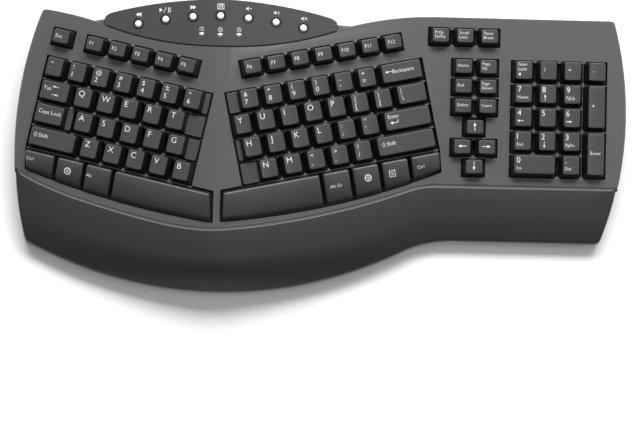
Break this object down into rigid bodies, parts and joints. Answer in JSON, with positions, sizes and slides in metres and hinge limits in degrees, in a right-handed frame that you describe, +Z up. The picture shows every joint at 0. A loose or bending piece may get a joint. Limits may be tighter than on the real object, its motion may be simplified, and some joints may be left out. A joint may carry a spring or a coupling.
{
  "type": "keyboard",
  "caption": "Ergonomic keyboard with gull-wing split key sections, a crescent media button panel, number pad, soft palm rest, folding rear feet and a battery bay below.",
  "frame": {"origin": "on the desk plane, below the middle of the bounding box", "axes": "+X to the typist's right, +Y to the back edge with the media buttons, +Z up"},
  "size_m": [0.4786, 0.2302, 0.0526],
  "materials": {
    "case_grey": "fine-grained satin, mid grey",
    "panel_grey": "satin, slightly darker than the deck",
    "palm_soft": "soft-touch matte, charcoal",
    "tray_dark": "fine texture, near black",
    "keycap": "satin charcoal tops with white printed legends",
    "button_pale": "satin silver-white",
    "frame_plastic": "plain moulded, black",
    "dome_rubber": "translucent pale silicone",
    "membrane_film": "clear film with printed traces",
    "board": "green solder mask",
    "cell_sleeve": null,
    "contact_steel": "nickel-plated spring steel",
    "screw_steel": "blackened steel",
    "foot_rubber": "matte black rubber",
    "lens": "clear moulded light guide"
  },
  "bodies": {
    "case": {"top_case": "case_grey", "media_panel": "panel_grey", "palm_rest": "palm_soft", "bottom_case": "tray_dark", "main_key_frame": "frame_plastic", "pad_key_frame": "frame_plastic", "rubber_domes": "dome_rubber", "switch_membrane": "membrane_film", "circuit_board": "board", "batteries": "cell_sleeve", "battery_contacts": "contact_steel", "rubber_feet": "foot_rubber", "indicator_lenses": "lens", "case_screws": "screw_steel"},
    "key_esc_cap": {"key_esc": "keycap"},
    "key_group_f1_f5": {"keys_f1_f5": "keycap"},
    "key_group_left_numbers": {"keys_left_numbers": "keycap"},
    "key_tab_cap": {"key_tab": "keycap"},
    "key_group_left_q_row": {"keys_left_q_row": "keycap"},
    "key_caps_lock_cap": {"key_caps_lock": "keycap"},
    "key_group_left_a_row": {"keys_left_a_row": "keycap"},
    "key_shift_left_cap": {"key_shift_left": "keycap"},
    "key_group_left_z_row": {"keys_left_z_row": "keycap"},
    "key_ctrl_left_cap": {"key_ctrl_left": "keycap"},
    "key_meta_left_cap": {"key_meta_left": "keycap"},
    "key_alt_left_cap": {"key_alt_left": "keycap"},
    "key_space_left_cap": {"key_space_left": "keycap"},
    "key_group_f6_f12": {"keys_f6_f12": "keycap"},
    "key_group_right_numbers": {"keys_right_numbers": "keycap"},
    "key_backspace_cap": {"key_backspace": "keycap"},
    "key_group_right_q_row": {"keys_right_q_row": "keycap"},
    "key_backslash_cap": {"key_backslash": "keycap"},
    "key_group_right_a_row": {"keys_right_a_row": "keycap"},
    "key_enter_cap": {"key_enter": "keycap"},
    "key_group_right_z_row": {"keys_right_z_row": "keycap"},
    "key_shift_right_cap": {"key_shift_right": "keycap"},
    "key_space_right_cap": {"key_space_right": "keycap"},
    "key_alt_right_cap": {"key_alt_right": "keycap"},
    "key_meta_right_cap": {"key_meta_right": "keycap"},
    "key_menu_cap": {"key_menu": "keycap"},
    "key_ctrl_right_cap": {"key_ctrl_right": "keycap"},
    "key_group_system": {"keys_system": "keycap"},
    "key_group_nav": {"keys_nav": "keycap"},
    "key_group_arrows": {"keys_arrows": "keycap"},
    "key_group_pad_top": {"keys_pad_top": "keycap"},
    "key_group_pad_digits": {"keys_pad_digits": "keycap"},
    "key_pad_plus_cap": {"key_pad_plus": "keycap"},
    "key_pad_enter_cap": {"key_pad_enter": "keycap"},
    "key_pad_zero_cap": {"key_pad_zero": "keycap"},
    "media_rewind_button": {"media_rewind": "button_pale"},
    "media_play_button": {"media_play": "button_pale"},
    "media_forward_button": {"media_forward": "button_pale"},
    "media_calculator_button": {"media_calculator": "button_pale"},
    "media_volume_down_button": {"media_volume_down": "button_pale"},
    "media_volume_up_button": {"media_volume_up": "button_pale"},
    "media_mute_button": {"media_mute": "button_pale"},
    "door": {"battery_door": "tray_dark"},
    "switch": {"power_switch": "button_pale"},
    "left_foot": {"left_folding_foot": "tray_dark"},
    "right_foot": {"right_folding_foot": "tray_dark"}
  },
  "joints": [
    {"name": "key_esc_press", "type": "slide", "parent": "case", "child": "key_esc_cap", "axis": [0.1475, 0.069, -0.9867], "range_m": [0, 0.0035], "stiffness_N_per_m": 150, "springref_m": -0.003, "deforming": ["rubber_domes"]},
    {"name": "keys_f1_f5_press", "type": "slide", "parent": "case", "child": "key_group_f1_f5", "axis": [0.1475, 0.069, -0.9867], "range_m": [0, 0.0035], "stiffness_N_per_m": 750, "springref_m": -0.003, "deforming": ["rubber_domes"]},
    {"name": "keys_left_numbers_press", "type": "slide", "parent": "case", "child": "key_group_left_numbers", "axis": [0.1475, 0.069, -0.9867], "range_m": [0, 0.0035], "stiffness_N_per_m": 1050, "springref_m": -0.003, "deforming": ["rubber_domes"]},
    {"name": "key_tab_press", "type": "slide", "parent": "case", "child": "key_tab_cap", "axis": [0.1475, 0.069, -0.9867], "range_m": [0, 0.0035], "stiffness_N_per_m": 150, "springref_m": -0.003, "deforming": ["rubber_domes"]},
    {"name": "keys_left_q_row_press", "type": "slide", "parent": "case", "child": "key_group_left_q_row", "axis": [0.1475, 0.069, -0.9867], "range_m": [0, 0.0035], "stiffness_N_per_m": 750, "springref_m": -0.003, "deforming": ["rubber_domes"]},
    {"name": "key_caps_lock_press", "type": "slide", "parent": "case", "child": "key_caps_lock_cap", "axis": [0.1475, 0.069, -0.9867], "range_m": [0, 0.0035], "stiffness_N_per_m": 150, "springref_m": -0.003, "deforming": ["rubber_domes"]},
    {"name": "keys_left_a_row_press", "type": "slide", "parent": "case", "child": "key_group_left_a_row", "axis": [0.1475, 0.069, -0.9867], "range_m": [0, 0.0035], "stiffness_N_per_m": 750, "springref_m": -0.003, "deforming": ["rubber_domes"]},
    {"name": "key_shift_left_press", "type": "slide", "parent": "case", "child": "key_shift_left_cap", "axis": [0.1475, 0.069, -0.9867], "range_m": [0, 0.0035], "stiffness_N_per_m": 150, "springref_m": -0.003, "deforming": ["rubber_domes"]},
    {"name": "keys_left_z_row_press", "type": "slide", "parent": "case", "child": "key_group_left_z_row", "axis": [0.1475, 0.069, -0.9867], "range_m": [0, 0.0035], "stiffness_N_per_m": 750, "springref_m": -0.003, "deforming": ["rubber_domes"]},
    {"name": "key_ctrl_left_press", "type": "slide", "parent": "case", "child": "key_ctrl_left_cap", "axis": [0.1475, 0.069, -0.9867], "range_m": [0, 0.0035], "stiffness_N_per_m": 150, "springref_m": -0.003, "deforming": ["rubber_domes"]},
    {"name": "key_meta_left_press", "type": "slide", "parent": "case", "child": "key_meta_left_cap", "axis": [0.1475, 0.069, -0.9867], "range_m": [0, 0.0035], "stiffness_N_per_m": 150, "springref_m": -0.003, "deforming": ["rubber_domes"]},
    {"name": "key_alt_left_press", "type": "slide", "parent": "case", "child": "key_alt_left_cap", "axis": [0.1475, 0.069, -0.9867], "range_m": [0, 0.0035], "stiffness_N_per_m": 150, "springref_m": -0.003, "deforming": ["rubber_domes"]},
    {"name": "key_space_left_press", "type": "slide", "parent": "case", "child": "key_space_left_cap", "axis": [0.1475, 0.069, -0.9867], "range_m": [0, 0.0035], "stiffness_N_per_m": 150, "springref_m": -0.003, "deforming": ["rubber_domes"]},
    {"name": "keys_f6_f12_press", "type": "slide", "parent": "case", "child": "key_group_f6_f12", "axis": [-0.1475, 0.069, -0.9867], "range_m": [0, 0.0035], "stiffness_N_per_m": 1050, "springref_m": -0.003, "deforming": ["rubber_domes"]},
    {"name": "keys_right_numbers_press", "type": "slide", "parent": "case", "child": "key_group_right_numbers", "axis": [-0.1475, 0.069, -0.9867], "range_m": [0, 0.0035], "stiffness_N_per_m": 900, "springref_m": -0.003, "deforming": ["rubber_domes"]},
    {"name": "key_backspace_press", "type": "slide", "parent": "case", "child": "key_backspace_cap", "axis": [-0.1475, 0.069, -0.9867], "range_m": [0, 0.0035], "stiffness_N_per_m": 150, "springref_m": -0.003, "deforming": ["rubber_domes"]},
    {"name": "keys_right_q_row_press", "type": "slide", "parent": "case", "child": "key_group_right_q_row", "axis": [-0.1475, 0.069, -0.9867], "range_m": [0, 0.0035], "stiffness_N_per_m": 1050, "springref_m": -0.003, "deforming": ["rubber_domes"]},
    {"name": "key_backslash_press", "type": "slide", "parent": "case", "child": "key_backslash_cap", "axis": [-0.1475, 0.069, -0.9867], "range_m": [0, 0.0035], "stiffness_N_per_m": 150, "springref_m": -0.003, "deforming": ["rubber_domes"]},
    {"name": "keys_right_a_row_press", "type": "slide", "parent": "case", "child": "key_group_right_a_row", "axis": [-0.1475, 0.069, -0.9867], "range_m": [0, 0.0035], "stiffness_N_per_m": 900, "springref_m": -0.003, "deforming": ["rubber_domes"]},
    {"name": "key_enter_press", "type": "slide", "parent": "case", "child": "key_enter_cap", "axis": [-0.1475, 0.069, -0.9867], "range_m": [0, 0.0035], "stiffness_N_per_m": 150, "springref_m": -0.003, "deforming": ["rubber_domes"]},
    {"name": "keys_right_z_row_press", "type": "slide", "parent": "case", "child": "key_group_right_z_row", "axis": [-0.1475, 0.069, -0.9867], "range_m": [0, 0.0035], "stiffness_N_per_m": 750, "springref_m": -0.003, "deforming": ["rubber_domes"]},
    {"name": "key_shift_right_press", "type": "slide", "parent": "case", "child": "key_shift_right_cap", "axis": [-0.1475, 0.069, -0.9867], "range_m": [0, 0.0035], "stiffness_N_per_m": 150, "springref_m": -0.003, "deforming": ["rubber_domes"]},
    {"name": "key_space_right_press", "type": "slide", "parent": "case", "child": "key_space_right_cap", "axis": [-0.1475, 0.069, -0.9867], "range_m": [0, 0.0035], "stiffness_N_per_m": 150, "springref_m": -0.003, "deforming": ["rubber_domes"]},
    {"name": "key_alt_right_press", "type": "slide", "parent": "case", "child": "key_alt_right_cap", "axis": [-0.1475, 0.069, -0.9867], "range_m": [0, 0.0035], "stiffness_N_per_m": 150, "springref_m": -0.003, "deforming": ["rubber_domes"]},
    {"name": "key_meta_right_press", "type": "slide", "parent": "case", "child": "key_meta_right_cap", "axis": [-0.1475, 0.069, -0.9867], "range_m": [0, 0.0035], "stiffness_N_per_m": 150, "springref_m": -0.003, "deforming": ["rubber_domes"]},
    {"name": "key_menu_press", "type": "slide", "parent": "case", "child": "key_menu_cap", "axis": [-0.1475, 0.069, -0.9867], "range_m": [0, 0.0035], "stiffness_N_per_m": 150, "springref_m": -0.003, "deforming": ["rubber_domes"]},
    {"name": "key_ctrl_right_press", "type": "slide", "parent": "case", "child": "key_ctrl_right_cap", "axis": [-0.1475, 0.069, -0.9867], "range_m": [0, 0.0035], "stiffness_N_per_m": 150, "springref_m": -0.003, "deforming": ["rubber_domes"]},
    {"name": "keys_system_press", "type": "slide", "parent": "case", "child": "key_group_system", "axis": [0, 0.0698, -0.9976], "range_m": [0, 0.0035], "stiffness_N_per_m": 450, "springref_m": -0.003, "deforming": ["rubber_domes"]},
    {"name": "keys_nav_press", "type": "slide", "parent": "case", "child": "key_group_nav", "axis": [0, 0.0698, -0.9976], "range_m": [0, 0.0035], "stiffness_N_per_m": 900, "springref_m": -0.003, "deforming": ["rubber_domes"]},
    {"name": "keys_arrows_press", "type": "slide", "parent": "case", "child": "key_group_arrows", "axis": [0, 0.0698, -0.9976], "range_m": [0, 0.0035], "stiffness_N_per_m": 600, "springref_m": -0.003, "deforming": ["rubber_domes"]},
    {"name": "keys_pad_top_press", "type": "slide", "parent": "case", "child": "key_group_pad_top", "axis": [0, 0.0698, -0.9976], "range_m": [0, 0.0035], "stiffness_N_per_m": 600, "springref_m": -0.003, "deforming": ["rubber_domes"]},
    {"name": "keys_pad_digits_press", "type": "slide", "parent": "case", "child": "key_group_pad_digits", "axis": [0, 0.0698, -0.9976], "range_m": [0, 0.0035], "stiffness_N_per_m": 1500, "springref_m": -0.003, "deforming": ["rubber_domes"]},
    {"name": "key_pad_plus_press", "type": "slide", "parent": "case", "child": "key_pad_plus_cap", "axis": [0, 0.0698, -0.9976], "range_m": [0, 0.0035], "stiffness_N_per_m": 150, "springref_m": -0.003, "deforming": ["rubber_domes"]},
    {"name": "key_pad_enter_press", "type": "slide", "parent": "case", "child": "key_pad_enter_cap", "axis": [0, 0.0698, -0.9976], "range_m": [0, 0.0035], "stiffness_N_per_m": 150, "springref_m": -0.003, "deforming": ["rubber_domes"]},
    {"name": "key_pad_zero_press", "type": "slide", "parent": "case", "child": "key_pad_zero_cap", "axis": [0, 0.0698, -0.9976], "range_m": [0, 0.0035], "stiffness_N_per_m": 150, "springref_m": -0.003, "deforming": ["rubber_domes"]},
    {"name": "media_rewind_press", "type": "slide", "parent": "case", "child": "media_rewind_button", "axis": [0.1475, 0.069, -0.9867], "range_m": [0, 0.001], "stiffness_N_per_m": 400, "springref_m": -0.001},
    {"name": "media_play_press", "type": "slide", "parent": "case", "child": "media_play_button", "axis": [0.1475, 0.069, -0.9867], "range_m": [0, 0.001], "stiffness_N_per_m": 400, "springref_m": -0.001},
    {"name": "media_forward_press", "type": "slide", "parent": "case", "child": "media_forward_button", "axis": [0.1475, 0.069, -0.9867], "range_m": [0, 0.001], "stiffness_N_per_m": 400, "springref_m": -0.001},
    {"name": "media_calculator_press", "type": "slide", "parent": "case", "child": "media_calculator_button", "axis": [0, 0.0698, -0.9976], "range_m": [0, 0.001], "stiffness_N_per_m": 400, "springref_m": -0.001},
    {"name": "media_volume_down_press", "type": "slide", "parent": "case", "child": "media_volume_down_button", "axis": [-0.1475, 0.069, -0.9867], "range_m": [0, 0.001], "stiffness_N_per_m": 400, "springref_m": -0.001},
    {"name": "media_volume_up_press", "type": "slide", "parent": "case", "child": "media_volume_up_button", "axis": [-0.1475, 0.069, -0.9867], "range_m": [0, 0.001], "stiffness_N_per_m": 400, "springref_m": -0.001},
    {"name": "media_mute_press", "type": "slide", "parent": "case", "child": "media_mute_button", "axis": [-0.1475, 0.069, -0.9867], "range_m": [0, 0.001], "stiffness_N_per_m": 400, "springref_m": -0.001},
    {"name": "battery_door_hinge", "type": "hinge", "parent": "case", "child": "door", "pos_m": [-0.11, 0.0775, 0.0022], "axis": [1, 0, 0], "range_deg": [0, 75]},
    {"name": "power_switch_slide", "type": "slide", "parent": "case", "child": "switch", "axis": [1, 0, 0], "range_m": [0, 0.004]},
    {"name": "left_foot_hinge", "type": "hinge", "parent": "case", "child": "left_foot", "pos_m": [-0.195, 0.088, 0.004], "axis": [1, 0, 0], "range_deg": [0, 90]},
    {"name": "right_foot_hinge", "type": "hinge", "parent": "case", "child": "right_foot", "pos_m": [0.195, 0.088, 0.004], "axis": [1, 0, 0], "range_deg": [0, 90]}
  ]
}
